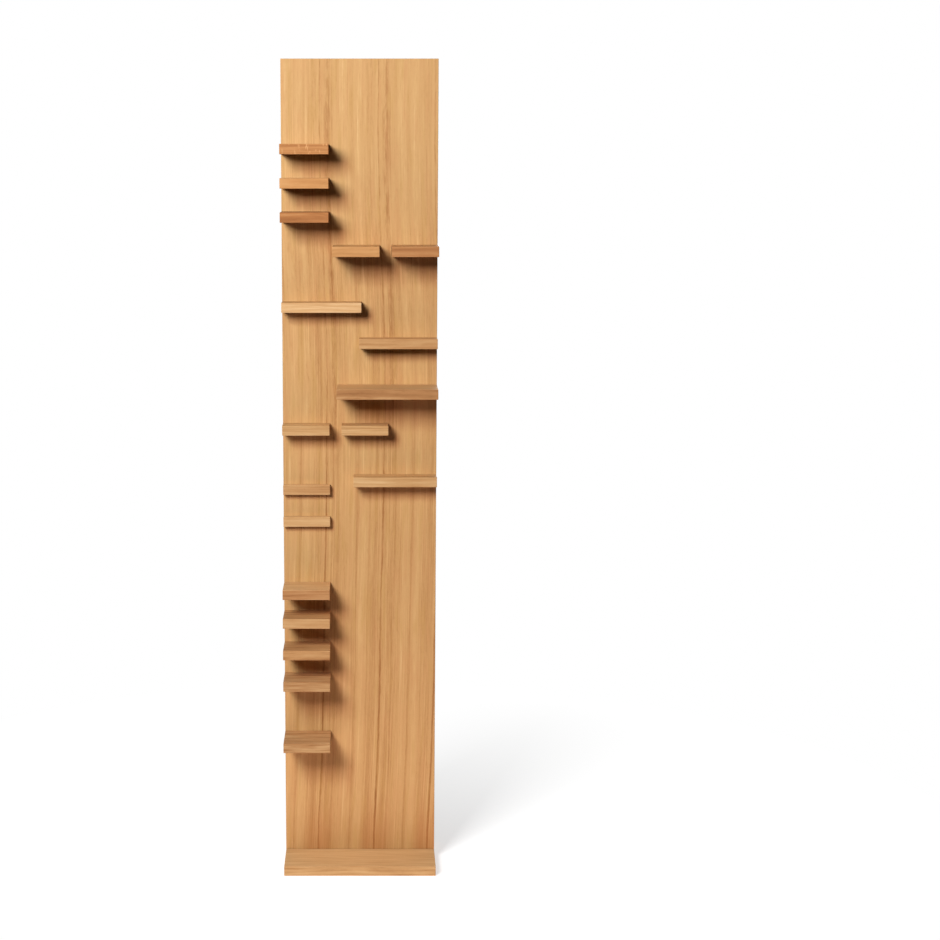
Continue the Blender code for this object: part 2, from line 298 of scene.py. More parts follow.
def screw(name):
    """A countersunk wood screw: the head's rings, the thread's rings and a point, carried round its axis."""
    head, aim, length = screw_place(name)
    angle = np.linspace(0.0, 2 * math.pi, SCREW_COLUMNS, endpoint=False)
    head_radius, head_depth = head_rings(angle)
    thread_radius, thread_depth = thread_rings(angle, length)
    radius = np.concatenate([head_radius, thread_radius, np.zeros((1, SCREW_COLUMNS))])
    depth = np.concatenate([head_depth, thread_depth, [length]])
    depth, angle = np.broadcast_arrays(depth[:, None], angle[None, :])
    points = carried_round(radius, depth, angle, head, aim)
    item = surface(name + "_steel", points, wrapped_faces(*radius.shape))
    turn_outwards(item)
    crease(item)
    return dress(item, name)


screws = [screw(name) for name in screw_names]
print(len(screws), "screws of", len(screws[0].data.polygons), "faces each")

# %% [markdown]
# ## Small helpers for node trees
# A material is a tree of nodes, and most of a wood material is arithmetic on coordinates. These helpers add
# a node, set its sockets or link them, and give back its output, so that a tree reads like a formula.
# Colours are written as they look on a screen, from 0 to 255, and turned into the linear values that
# shaders take.

# %% Nodes for numbers and places


def add(tree, kind, sockets, **settings):
    """A new node of this kind, with its settings made and each named socket set or linked."""
    node = tree.nodes.new("ShaderNode" + kind)
    for key, value in settings.items():
        setattr(node, key, value)
    for key, value in sockets.items():
        if isinstance(value, bpy.types.NodeSocket):
            tree.links.new(value, node.inputs[key])
        else:
            node.inputs[key].default_value = value
    return node


def calc(tree, operation, first, second=0.0, clamp=False):
    """One step of arithmetic on numbers or sockets."""
    return add(tree, "Math", {0: first, 1: second}, operation=operation, use_clamp=clamp).outputs[0]


def vector(tree, operation, first, second):
    """One step of arithmetic on places or directions."""
    return add(tree, "VectorMath", {0: first, 1: second}, operation=operation).outputs[0]


def length(tree, first):
    """How long a direction is."""
    return add(tree, "VectorMath", {0: first}, operation="LENGTH").outputs["Value"]


def stretched(tree, place, amounts):
    """The place multiplied axis by axis, to pull a pattern out along the grain."""
    return vector(tree, "MULTIPLY", place, amounts)


def blend(tree, value, low, high):
    """0 below low, 1 above high and a smooth step between them."""
    sockets = {"Value": value, "From Min": low, "From Max": high}
    return add(tree, "MapRange", sockets, interpolation_type="SMOOTHSTEP").outputs[0]


def between(tree, share, first, second):
    """A number that goes from the first to the second with the share."""
    return add(tree, "MapRange", {"Value": share, "To Min": first, "To Max": second}).outputs[0]


def cloud(tree, place, detail=2.0, roughness=0.5):
    """Smooth noise from about 0.2 to 0.8, one lump per unit."""
    sockets = {"Vector": place, "Scale": 1.0, "Detail": detail, "Roughness": roughness}
    return add(tree, "TexNoise", sockets).outputs[0]


# %% Nodes for colours


def linear(colour):
    """Screen colour, 0 to 255 a channel, as a linear colour with alpha, by the sRGB formula."""
    share = np.array(colour) / 255
    low = share <= 0.04045
    return (*np.where(low, share / 12.92, ((share + 0.055) / 1.055) ** 2.4).tolist(), 1.0)


def ramp(tree, value, stops, course):
    """Linear colours along a ramp: stops are (position, colour), joined straight or in a smooth course."""
    node = add(tree, "ValToRGB", {0: value})
    node.color_ramp.interpolation = course
    elements = node.color_ramp.elements
    for position, colour in stops[1:-1]:
        elements.new(position)
    for element, (position, colour) in zip(elements, stops):
        element.position = position
        element.color = colour
    return node.outputs[0]


def tones(tree, value, stops):
    """Screen colours along a straight ramp: stops are (position, colour)."""
    return ramp(tree, value, [(position, linear(colour)) for position, colour in stops], "LINEAR")


def levels(tree, value, stops, course="LINEAR"):
    """Plain numbers along a ramp: stops are (position, number)."""
    greys = [(position, (number, number, number, 1.0)) for position, number in stops]
    return ramp(tree, value, greys, course)


def mixed(tree, share, first, second):
    """The first colour turned into the second by this share."""
    return add(tree, "Mix", {0: share, 6: first, 7: second}, data_type="RGBA").outputs[2]


def new_finish(name):
    """An empty material with its shader, ready for a tree."""
    material = bpy.data.materials.new(name)
    material.use_nodes = True
    return material, material.node_tree, material.node_tree.nodes["Principled BSDF"]


print("middle grey on a screen is", round(linear((128, 128, 128))[0], 3), "of white light")

# %% [markdown]
# ## Lacquered oak
# Both woods end in the same matt lacquer: fairly rough, a little gloss, and a slight relief, because the
# pores stay open under a thin coat. Pores are short dark dashes along the grain. A texture could hold them,
# but here they are the peaks of a noise pulled out along the grain, and the same dashes darken the colour,
# roughen the gloss and sink into the surface.

# %% The lacquer
OAK_ROUGHNESS = 0.55
PORE_ROUGHNESS = 0.2
OAK_SPECULAR = 0.08
PORE_RELIEF = 0.00012
RELIEF_STRENGTH = 0.6
PORE_PEAKS = (0.60, 0.72)


def open_pores(tree, place, dashes):
    """1 in the pores and 0 between them: the peaks of a noise that is stretched into dashes."""
    return blend(tree, cloud(tree, stretched(tree, place, dashes), detail=1.0), *PORE_PEAKS)


def lacquer(tree, shader, colour, pores):
    """Colour, a roughness that rises in the pores, and the pores as fine grooves."""
    tree.links.new(colour, shader.inputs["Base Color"])
    rough = calc(tree, "MULTIPLY_ADD", pores, PORE_ROUGHNESS)
    rough.node.inputs[2].default_value = OAK_ROUGHNESS
    tree.links.new(rough, shader.inputs["Roughness"])
    shader.inputs["Specular IOR Level"].default_value = OAK_SPECULAR
    height = calc(tree, "SUBTRACT", 1.0, pores)
    relief = add(tree, "Bump", {"Height": height, "Distance": PORE_RELIEF, "Strength": RELIEF_STRENGTH})
    tree.links.new(relief.outputs[0], shader.inputs["Normal"])


print("lacquer roughness", OAK_ROUGHNESS, "and in the pores", OAK_ROUGHNESS + PORE_ROUGHNESS)

# %% [markdown]
# ## The panel's veneer
# The panel is faced with leaves of veneer from one log, laid side by side without turning them, so each
# leaf repeats the one beside it. In every leaf a dark growth line runs down in a slow curve. An image of
# veneer would show one fixed board. Here the leaf is a formula, and the first step is to find where a point
# lies: in which leaf, how far right of that leaf's growth line, how far along the grain and how high.
#
# The leaves run up the front, round the side edges and up the back. The top and bottom edges have a lipping
# of their own, whose grain runs across the panel.

# %% Leaves from one log
LEAF_WIDTH = 0.127
FIRST_SEAM = 0.075
FIRST_LEAF_TRIM = 0.0045
WRAP_ROUND = 2.3
LIPPING_SLOPE = 0.7
GROWTH_LINE = (
    (0.00, 0.1395),
    (0.10, 0.1322),
    (0.21, 0.1262),
    (0.33, 0.1230),
    (0.44, 0.1175),
    (0.64, 0.1155),
    (0.80, 0.1252),
    (0.90, 0.1295),
    (1.00, 0.1292),
)


def facing_up(tree):
    """1 on level faces, above or below, and 0 on upright ones: the size of the normal's upright part."""
    upright = add(tree, "SeparateXYZ", {0: add(tree, "NewGeometry", {}).outputs["Normal"]}).outputs["Z"]
    return calc(tree, "ABSOLUTE", upright)


def leaf_place(tree, place):
    """Number of the leaf, distance right of its line, distance along the grain, and height from 0 to 1.

    Distance right of the line = line - distance from the panel's right edge, wrapped at each leaf's width.
    """
    axis = add(tree, "SeparateXYZ", {0: place}).outputs
    lipping = calc(tree, "GREATER_THAN", facing_up(tree), LIPPING_SLOPE)
    inward = calc(tree, "MULTIPLY", calc(tree, "SUBTRACT", axis["Y"], panel_low[1]), WRAP_ROUND)
    from_right = calc(tree, "ADD", calc(tree, "SUBTRACT", panel_high[0], axis["X"]), inward)
    from_right = between(tree, lipping, from_right, inward)
    along = between(tree, lipping, axis["Z"], axis["X"])
    past_seam = calc(tree, "SUBTRACT", from_right, FIRST_SEAM)
    leaf = calc(tree, "CEIL", calc(tree, "DIVIDE", past_seam, LEAF_WIDTH))
    trim = calc(tree, "MULTIPLY", calc(tree, "LESS_THAN", leaf, 0.5), FIRST_LEAF_TRIM)
    sockets = {"Value": axis["Z"], "From Min": panel_low[2], "From Max": panel_high[2]}
    rise = add(tree, "MapRange", sockets).outputs[0]
    line = calc(tree, "ADD", levels(tree, rise, GROWTH_LINE, "CARDINAL"), trim)
    leaves = calc(tree, "DIVIDE", calc(tree, "SUBTRACT", line, from_right), LEAF_WIDTH)
    across = calc(tree, "MULTIPLY", calc(tree, "FRACT", leaves), LEAF_WIDTH)
    return leaf, across, along, rise


print("veneer in leaves of", LEAF_WIDTH, "m")

# %% [markdown]
# ## Growth lines and bands
# Right of each growth line the wood changes in soft stripes, some paler and some browner, as the tree's
# years were good or bad. One colour ramp across the leaf could hold them, but each stripe changes its
# strength from the foot of the panel to its top. So a stripe is a soft bump at its own distance from the
# line, with one strength for the foot and one for the top. The sum of them, less the line, is the tone.

# %% Bands of growth
LINE_HALF_WIDTH = 0.0034
LINE_CORE = 0.0003
LINE_DEPTH = ((0.0, 0.34), (0.12, 0.25), (0.42, 0.20), (0.58, 0.11), (1.0, 0.11))


class Band(NamedTuple):
    """A soft stripe: its distance right of the line, its half width, and its strength at foot and top."""

    middle: float
    half_width: float
    foot: float
    top: float


GROWTH_BANDS = (
    Band(0.0165, 0.0110, foot=-0.04, top=-0.11),
    Band(0.0260, 0.0060, foot=-0.07, top=-0.02),
    Band(0.0540, 0.0180, foot=0.08, top=0.09),
    Band(0.0695, 0.0050, foot=-0.08, top=-0.02),
    Band(0.0830, 0.0130, foot=0.14, top=0.09),
    Band(0.1110, 0.0160, foot=-0.04, top=-0.03),
    Band(0.1230, 0.0040, foot=0.06, top=0.04),
)


def away_from(tree, value, middle):
    """How far a value lies from the middle, on either side."""
    return calc(tree, "ABSOLUTE", calc(tree, "SUBTRACT", value, middle))


def growth_tone(tree, across, rise, upper, blotches):
    """(Sum of the soft bands - line) x blotches, and the distance to the nearest growth line."""
    tone = 0.0
    for band in GROWTH_BANDS:
        soft = blend(tree, away_from(tree, across, band.middle), band.half_width, 0.0)
        stripe = calc(tree, "MULTIPLY", soft, between(tree, upper, band.foot, band.top))
        tone = calc(tree, "ADD", tone, stripe)
    half_leaf = LEAF_WIDTH / 2
    to_line = calc(tree, "SUBTRACT", half_leaf, away_from(tree, across, half_leaf))
    dark = blend(tree, to_line, LINE_HALF_WIDTH, LINE_CORE)
    line = calc(tree, "MULTIPLY", dark, levels(tree, rise, LINE_DEPTH))
    return calc(tree, "MULTIPLY", calc(tree, "SUBTRACT", tone, line), blotches), to_line


print(len(GROWTH_BANDS), "bands beside each growth line")

# %% [markdown]
# ## The veneer's figure
# Noise that is stretched along the grain adds what the bands leave out: long fine lines, short ones, wider
# clouds and the pores. It is read in the leaf's own coordinates and shifted only a little from leaf to leaf,
# because the slices of one log are nearly alike. Another noise frays the bands' edges, and one breaks them
# up, more so in the upper half. All of it adds up to one number, the tone.

# %% The veneer's tone
LEAF_CHANGE = 0.35
RAGGED_EDGES = (300.0, 1.0, 40.0)
BROKEN_BANDS = (160.0, 1.0, 24.0)
LONG_LINES = (400.0, 1.0, 4.0)
SHORT_LINES = (450.0, 1.0, 34.0)
WIDE_CLOUDS = (95.0, 1.0, 6.0)
VENEER_PORES = (2300.0, 1.0, 95.0)
FRAYING = 0.004
UPPER_HALF = (0.42, 0.58)
BREAKS = (0.34, 0.66)
BREAKING_FOOT = 0.5
BREAKING_TOP = 1.3
LONG_SHARE = 0.34
SHORT_SHARE = 0.20
WIDE_SHARE = 0.18
PALE_PEAKS = (0.58, 0.70)
PALE_SHARE = 0.16
PORE_SHADE = 0.08
HEIGHT_TONES = ((0.0, 0.50), (0.60, 0.50), (0.69, 0.48), (0.76, 0.48), (0.85, 0.545), (1.0, 0.545))


def weighed(tree, tone, change, weight):
    """The tone with a noise added, which swings about its own middle by this weight."""
    return calc(tree, "ADD", tone, calc(tree, "MULTIPLY", calc(tree, "SUBTRACT", change, 0.5), weight))


def veneer_tone(tree, grain, across, rise, pores):
    """Tone = growth bands of the leaf + fine lines + clouds - pores + the height's own tone."""
    ragged = cloud(tree, stretched(tree, grain, RAGGED_EDGES), detail=3.0, roughness=0.7)
    broken = cloud(tree, stretched(tree, grain, BROKEN_BANDS), detail=3.0, roughness=0.65)
    long = cloud(tree, stretched(tree, grain, LONG_LINES), detail=2.0, roughness=0.6)
    short = cloud(tree, stretched(tree, grain, SHORT_LINES), detail=3.0, roughness=0.65)
    wide = cloud(tree, stretched(tree, grain, WIDE_CLOUDS), detail=2.0)
    upper = blend(tree, rise, *UPPER_HALF)
    breaking = between(tree, upper, BREAKING_FOOT, BREAKING_TOP)
    blotches = weighed(tree, 1.0, blend(tree, broken, *BREAKS), breaking)
    frayed = weighed(tree, across, ragged, FRAYING)
    tone, to_line = growth_tone(tree, frayed, rise, upper, blotches)
    tone = weighed(tree, tone, long, LONG_SHARE)
    tone = weighed(tree, tone, short, SHORT_SHARE)
    tone = weighed(tree, tone, wide, WIDE_SHARE)
    tone = calc(tree, "ADD", tone, calc(tree, "MULTIPLY", blend(tree, long, *PALE_PEAKS), PALE_SHARE))
    tone = calc(tree, "SUBTRACT", tone, calc(tree, "MULTIPLY", pores, PORE_SHADE))
    return calc(tree, "ADD", tone, levels(tree, rise, HEIGHT_TONES)), to_line


print("tone from", HEIGHT_TONES[0][1], "at the foot to", HEIGHT_TONES[-1][1], "at the top")

# %% [markdown]
# ## The veneer's colour
# A ramp turns the tone into the oak's colours, from the brown of a growth line to the straw of a pale
# streak. On top of that, patches lean to pink or to ochre. A log also changes along its length: towards the
# foot of the panel, which was nearer the butt of the tree, the wood turns to ochre, and the last hand's
# breadth turns red beside the growth lines.

# %% The veneer
VENEER_TONES = (
    (0.00, (124, 74, 38)),
    (0.25, (174, 118, 70)),
    (0.50, (212, 163, 108)),
    (0.75, (226, 181, 124)),
    (1.00, (240, 205, 152)),
)
COLOUR_PATCHES = (75.0, 1.0, 8.0)
PINK_HEART = (212, 154, 104)
PINK_PEAKS = (0.50, 0.66)
PINK_SHARE = 0.25
OCHRE_HEART = (202, 156, 92)
OCHRE_HOLLOWS = (0.46, 0.32)
OCHRE_SHARE = 0.30
OCHRE_BUTT = (146, 132, 78)
OCHRE_FOOT = 0.16
RED_BUTT = (186, 120, 70)
RED_RISE = 0.09
RED_REACH = (0.045, 0.012)
RED_SHARES = (0.12, 0.46)


def veneer():
    """The tone coloured along the oak's ramp, then mixed with pink, ochre and, at the foot, red."""
    material, tree, shader = new_finish("slip_matched_oak_veneer")
    place = add(tree, "TexCoord", {}).outputs["Object"]
    leaf, across, along, rise = leaf_place(tree, place)
    change = calc(tree, "MULTIPLY", leaf, LEAF_CHANGE)
    grain = add(tree, "CombineXYZ", {0: across, 1: change, 2: along}).outputs[0]
    pores = open_pores(tree, grain, VENEER_PORES)
    tone, to_line = veneer_tone(tree, grain, across, rise, pores)
    colour = tones(tree, tone, VENEER_TONES)
    patch = cloud(tree, stretched(tree, grain, COLOUR_PATCHES), detail=2.0)
    pink = calc(tree, "MULTIPLY", blend(tree, patch, *PINK_PEAKS), PINK_SHARE)
    colour = mixed(tree, pink, colour, linear(PINK_HEART))
    ochre = calc(tree, "MULTIPLY", blend(tree, patch, *OCHRE_HOLLOWS), OCHRE_SHARE)
    colour = mixed(tree, ochre, colour, linear(OCHRE_HEART))
    colour = mixed(tree, between(tree, rise, OCHRE_FOOT, 0.0), colour, linear(OCHRE_BUTT))
    beside = between(tree, blend(tree, to_line, *RED_REACH), *RED_SHARES)
    red = calc(tree, "MULTIPLY", blend(tree, rise, RED_RISE, 0.0), beside)
    lacquer(tree, shader, mixed(tree, red, colour, linear(RED_BUTT)), pores)
    return material


panel.data.materials.append(veneer())
print("veneer of", len(panel.data.materials[0].node_tree.nodes), "nodes")

# %% [markdown]
# ## Solid oak
# The shelves and the base are cut from planks, so the pattern has to agree on their fronts, tops and ends.
# A tree grows in rings round its pith, and a board is a small block cut from somewhere beside it. So the
# pattern is a solid one: the distance from a pith line that runs along the board gives the rings. On the
# front they show as stripes, and on the ends as arcs. How far round the pith the board was cut decides
# whether the front has fine stripes or broad streaks. No ring is a true circle, so a slow noise bends the
# place before its distance is taken.

# %% Rings round a pith
PITH_DISTANCE = 0.085
GRAIN_WANDER = 0.009
SLOW_WANDER = (5.0, 14.0, 14.0)
ACROSS_GRAIN = (0.0, 1.0, 1.0)
MIDDLE_GREY = (0.5, 0.5, 0.5)


def wandering(tree, local, shifted):
    """Place + a slow noise across the grain, as wide as the grain's wander."""
    sockets = {"Vector": stretched(tree, shifted, SLOW_WANDER), "Scale": 1.0, "Detail": 2.0}
    swing = vector(tree, "SUBTRACT", add(tree, "TexNoise", sockets).outputs["Color"], MIDDLE_GREY)
    return vector(tree, "ADD", stretched(tree, swing, (0.0, GRAIN_WANDER, GRAIN_WANDER)), local)


def from_pith(tree, bent, cut):
    """Distance = length of (place - pith) across the grain, the pith lying at this angle from the board."""
    angle = math.radians(cut)
    pith = (0.0, PITH_DISTANCE * math.cos(angle), PITH_DISTANCE * math.sin(angle))
    return length(tree, stretched(tree, vector(tree, "SUBTRACT", bent, pith), ACROSS_GRAIN))


print("pith", PITH_DISTANCE, "m from each board's middle")

# %% [markdown]
# ## What sets a plank apart
# No two planks are alike, so each has a row of features: the angle round the pith at which it was cut, then
# how strong its rings, streaks and broad changes of tone are. A plank cut straight towards the pith also
# shows ray flecks, short pale marks that cross the grain. A plank can be reddened, on its upright faces or
# on its level ones; on a few planks the red of the level faces is painted warmth of light. The upright
# faces can be greyed, which is painted cooling against the warm light that bounces onto them. The level
# faces can carry painted light, which makes them lighter, or painted shade, which makes them darker. A
# plank can be lighter or darker as a whole, and a single dark or pale vein can run along its front at some
# height.

# %% The plank's tone
RING_SPACING = 0.0032
RING_PROFILE = ((0.0, 0.30), (0.22, 0.38), (0.45, 0.56), (0.88, 0.62), (1.0, 0.30))
LAYER_STRETCH = 9.0
STREAKS = (1.0, 210.0, 1.0)
BROAD_CHANGES = (0.6, 60.0, 1.0)
RAY_FLECKS = (230.0, 60.0, 55.0)
FLECK_PEAKS = (0.60, 0.70)
VEIN_PATCHES = (0.35, 0.65)
VEIN_FAINT = 0.4
VEIN_STRONG = 1.6
PLANK_PORE_SHADE = 0.12


class Plank(NamedTuple):
    """Degrees round the pith, then how strong each feature is, and where the vein runs, in metres."""

    cut: float
    rings: float = 0.35
    streaks: float = 0.8
    broad: float = 0.3
    flecks: float = 0.0
    red: float = 0.0
    # Red on the level faces: the wood's own red, and on a few planks also painted warmth of light.
    level_red_and_painted_warmth: float = 0.0
    # Grey on the upright faces is painted cooling against the warm light that bounces onto them.
    grey: float = 0.0
    # Painted light on the level faces when above 0, painted shade on them when below 0.
    face: float = 0.0
    lift: float = 0.0
    vein: float = 0.0
    vein_height: float = 0.0
    vein_half: float = 0.005


def plank_vein(tree, bent, streak, plank):
    """A soft stripe at the vein's height, stronger and weaker along the streaks."""
    height = add(tree, "SeparateXYZ", {0: bent}).outputs["Z"]
    soft = blend(tree, away_from(tree, height, plank.vein_height), plank.vein_half, 0.0)
    patches = blend(tree, streak, *VEIN_PATCHES)
    patchy = between(tree, patches, VEIN_FAINT * plank.vein, VEIN_STRONG * plank.vein)
    return calc(tree, "MULTIPLY", soft, patchy)


def plank_tone(tree, bent, shifted, seed, facing, plank):
    """Tone = ring profile from the pith + streaks + vein + flecks + painted light and shade on level faces.
    """
    radius = from_pith(tree, bent, plank.cut)
    rings = levels(tree, calc(tree, "FRACT", calc(tree, "DIVIDE", radius, RING_SPACING)), RING_PROFILE)
    along = calc(tree, "MULTIPLY", add(tree, "SeparateXYZ", {0: shifted}).outputs["X"], LAYER_STRETCH)
    layer = add(tree, "CombineXYZ", {0: along, 1: radius, 2: seed}).outputs[0]
    streak = cloud(tree, stretched(tree, layer, STREAKS), detail=3.0, roughness=0.6)
    broad = cloud(tree, stretched(tree, layer, BROAD_CHANGES), detail=2.0)
    ray = cloud(tree, stretched(tree, shifted, RAY_FLECKS), detail=2.0)
    tone = weighed(tree, plank.lift, rings, plank.rings)
    tone = weighed(tree, tone, streak, plank.streaks)
    tone = weighed(tree, tone, broad, plank.broad)
    tone = calc(tree, "ADD", tone, plank_vein(tree, bent, streak, plank))
    # Painted light (above 0) or painted shade (below 0) on the level faces, as far as each face looks up or
    # down.
    tone = calc(tree, "ADD", tone, calc(tree, "MULTIPLY", facing, plank.face))
    flecks = calc(tree, "MULTIPLY", blend(tree, ray, *FLECK_PEAKS), between(tree, facing, plank.flecks, 0.0))
    return calc(tree, "ADD", tone, flecks)


print("a ring every", RING_SPACING, "m")

# %% [markdown]
# ## The plank's colour
# As on the panel, the tone picks a colour along a ramp, here of the plank's own three shades, which run on
# past the light one so that a strong streak still has somewhere to go. Red and grey are tints: a plain
# multiplication, which leaves the figure as it is. Each board starts its noise at a place of its own, which
# comes from where the board is, so the result is the same in every run.

# %% The plank
SEED_SPREAD = 10.0
PLANK_PORES = (95.0, 2100.0, 2100.0)
OAK_RED_AND_WARM_LIGHT = (250, 232, 214)
PAINTED_COOLING_GREY = (237, 252, 255)
TONE_SPAN = 0.8
DARK_STOP = 0.18
EVEN_STOP = 0.5
LIGHT_STOP = 0.82
PALEST_STOP = 1.0
PALEST_STEP = 0.56


def tinted(tree, share, colour, tint):
    """The colour multiplied by the tint, by this share."""
    sockets = {0: share, 6: colour, 7: linear(tint)}
    return add(tree, "Mix", sockets, data_type="RGBA", blend_type="MULTIPLY").outputs[2]


def solid_oak(name, low, high, plank, shades):
    """The plank's tone less its pores, coloured along its shades, then tinted red, and grey as painted
    cooling.
    """
    material, tree, shader = new_finish(name)
    middle = (low + high) / 2
    place = add(tree, "TexCoord", {}).outputs["Object"]
    local = add(tree, "Mapping", {"Vector": place, "Location": (-middle).tolist()}).outputs[0]
    seed = float(np.abs(middle).sum() * SEED_SPREAD)
    shifted = vector(tree, "ADD", local, (seed, seed, seed))
    facing = facing_up(tree)
    tone = plank_tone(tree, wandering(tree, local, shifted), shifted, seed, facing, plank)
    pores = open_pores(tree, shifted, PLANK_PORES)
    tone = calc(tree, "SUBTRACT", tone, calc(tree, "MULTIPLY", pores, PLANK_PORE_SHADE))
    dark, even, light = (np.array(shade) for shade in shades)
    palest = light + PALEST_STEP * (light - even)
    stops = ((DARK_STOP, dark), (EVEN_STOP, even), (LIGHT_STOP, light), (PALEST_STOP, palest))
    colour = tones(tree, calc(tree, "ADD", calc(tree, "MULTIPLY", tone, TONE_SPAN), EVEN_STOP), stops)
    # The red tint is the wood's own, and on the level faces of a few planks also painted warmth of light.
    colour = tinted(tree, between(tree, facing, plank.red, plank.level_red_and_painted_warmth), colour, OAK_RED_AND_WARM_LIGHT)
    # Grey on the upright faces is painted cooling against the warm bounce light.
    colour = tinted(tree, between(tree, facing, plank.grey, 0.0), colour, PAINTED_COOLING_GREY)
    lacquer(tree, shader, colour, pores)
    return material


print("tone 0 lies at", EVEN_STOP, "of a plank's ramp")

# %% [markdown]
# ## Which plank each shelf came from
# The boards weren't sorted for colour: some are pale, some are brown, and a few have strong streaks. The
# record names the tone of each board, which picks its three shades. The table gives what sets it apart. The
# upper boards are the redder ones. The lower ones have their fronts greyed, which is painted cooling against
# the warm light that bounces onto them, and many boards have painted light or painted shade on their level
# faces.

# %% The boards' woods
OAK_SHADES = {
    "pale_oak": ((196, 146, 94), (224, 179, 127), (240, 206, 158)),
    "honey_oak": ((174, 122, 74), (209, 160, 107), (228, 186, 134)),
    "warm_oak": ((164, 110, 66), (202, 149, 98), (222, 176, 124)),
    "brown_oak": ((142, 92, 54), (186, 132, 85), (212, 164, 114)),
}
PLANKS = {
    "shelf_01_left": Plank(
        cut=80, flecks=0.5, red=0.7, level_red_and_painted_warmth=0.7, lift=-0.02, vein=-0.2, vein_height=0.008
    ),
    "shelf_02_left": Plank(cut=35, rings=0.25, red=0.8, level_red_and_painted_warmth=0.8),
    "shelf_03_left": Plank(
        cut=25, rings=0.2, broad=0.9, red=0.8, level_red_and_painted_warmth=0.8, lift=-0.07, vein=0.2, vein_height=0.006
    ),
    "shelf_04_middle": Plank(cut=30, rings=0.3, streaks=0.6, red=0.6, level_red_and_painted_warmth=0.6, lift=0.03),
    "shelf_05_right": Plank(
        cut=20, streaks=1.2, red=0.4, level_red_and_painted_warmth=0.4, lift=0.13, vein=-0.28, vein_height=0.004, vein_half=0.009
    ),
    "shelf_06_left": Plank(cut=75, rings=0.6, streaks=1.1, face=-0.35),
    "shelf_07_right": Plank(cut=28, rings=0.5, broad=0.6, grey=0.2, lift=0.04, vein=0.2, vein_height=-0.005),
    "shelf_08_right": Plank(
        cut=25, level_red_and_painted_warmth=0.4, grey=0.3, face=0.48, lift=-0.05, vein=0.2, vein_height=-0.008
    ),
    "shelf_09_left": Plank(cut=70, rings=0.6, streaks=1.1, grey=0.3, face=-0.05, lift=0.03),
    "shelf_10_middle": Plank(cut=60, rings=0.7, streaks=1.2, grey=0.3, face=-0.15, lift=0.03),
    "shelf_11_right": Plank(cut=30, rings=0.5, broad=0.6, grey=0.3, face=-0.1, lift=0.08, vein=0.12),
    "shelf_12_ledge": Plank(cut=40, broad=0.5, grey=0.4, face=0.1, lift=0.17),
    "shelf_13_ledge": Plank(cut=35, broad=0.5, grey=0.2, face=0.1, lift=0.10),
    "shelf_14_left": Plank(cut=70, rings=0.5, streaks=1.1, level_red_and_painted_warmth=0.25, grey=0.2, face=0.50, lift=0.05),
    "shelf_15_left": Plank(cut=40, streaks=1.0, broad=0.6, grey=0.5, face=-0.30, lift=0.22),
    "shelf_16_left": Plank(cut=30, streaks=1.5, broad=0.9, grey=0.5, lift=-0.02),
    "shelf_17_left": Plank(cut=65, rings=0.6, streaks=1.6, broad=0.6, grey=0.65, face=-0.06, lift=0.19),
    "shelf_18_left": Plank(cut=55, rings=0.6, streaks=1.8, grey=0.75, face=0.14, lift=0.10),
}
BASE_PLANK = Plank(cut=50, rings=0.5, streaks=1.1, level_red_and_painted_warmth=0.6, grey=0.8, face=0.51, lift=-0.03)


def give_oak(item, node, plank):
    """The board's own solid oak, from its place, its plank and the tone of its slot."""
    low, high = (np.array(corner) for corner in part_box(node))
    item.data.materials.append(solid_oak(item.name, low, high, plank, OAK_SHADES[slot_of[node]]))


for name, item in shelves.items():
    give_oak(item, name, PLANKS[name])
give_oak(base, "base_board", BASE_PLANK)
print("oak planks", len(PLANKS) + 1)

# %% [markdown]
# ## Zinc-plated steel
# The screws are plated: a pale metal, a little yellow, cloudy rather than polished. One roughness all over
# would look like a mirror that is out of focus. A fine noise in the colour and the roughness gives the
# cloudiness.

# %% The screws' steel
ZINC = (206, 203, 192)
DULL_ZINC = (176, 170, 152)
ZINC_ROUGHNESS = 0.26
DULL_ROUGHNESS = 0.42
MOTTLE = (900.0, 900.0, 900.0)


def plated_steel():
    """Metal whose colour and roughness vary with a fine noise."""
    material, tree, shader = new_finish("zinc_plated_steel")
    place = add(tree, "TexCoord", {}).outputs["Object"]
    mottle = cloud(tree, stretched(tree, place, MOTTLE), detail=2.0)
    tree.links.new(tones(tree, mottle, ((0.3, DULL_ZINC), (0.7, ZINC))), shader.inputs["Base Color"])
    tree.links.new(between(tree, mottle, DULL_ROUGHNESS, ZINC_ROUGHNESS), shader.inputs["Roughness"])
    shader.inputs["Metallic"].default_value = 1.0
    return material


steel = plated_steel()
for item in screws:
    item.data.materials.append(steel)
print("steel on", len(screws), "screws")

# %% [markdown]
# ## One soft lamp
# The shadows of the shelves fall to the lower right and end softly, so the light is one large panel, high
# up and to the left in front of the shelf. A sun or a spot would give sharp shadows. Its power is set so that
# a colour on the middle of the panel renders about as it is written, and its light is followed for one
# bounce, which warms the shadows between the boards.
#
# The edges of the shadows are reddish. The lamp is therefore a little warmer on its lower right side, which
# is the side that still shines into a shadow's edge, and cooler on the other, so that its light is white on
# the whole. On a white floor that would show as coloured fringes, so this lamp is linked to the shelf alone,
# and the floor gets a plain white twin further down.

# %% The lamp
LAMP_PLACE = np.array([-1.310, panel_low[1] - 2.772, 2.600])
LAMP_TARGET = np.array([0.0, panel_low[1], 0.35])
LAMP_SIZE = (1.09, 1.34)
LAMP_POWER = 137.5
COOL_SIDE = (0.74, 1.13, 1.13, 1.0)
WARM_SIDE = (1.26, 0.87, 0.87, 1.0)
WARMTH_DOWN = 0.7


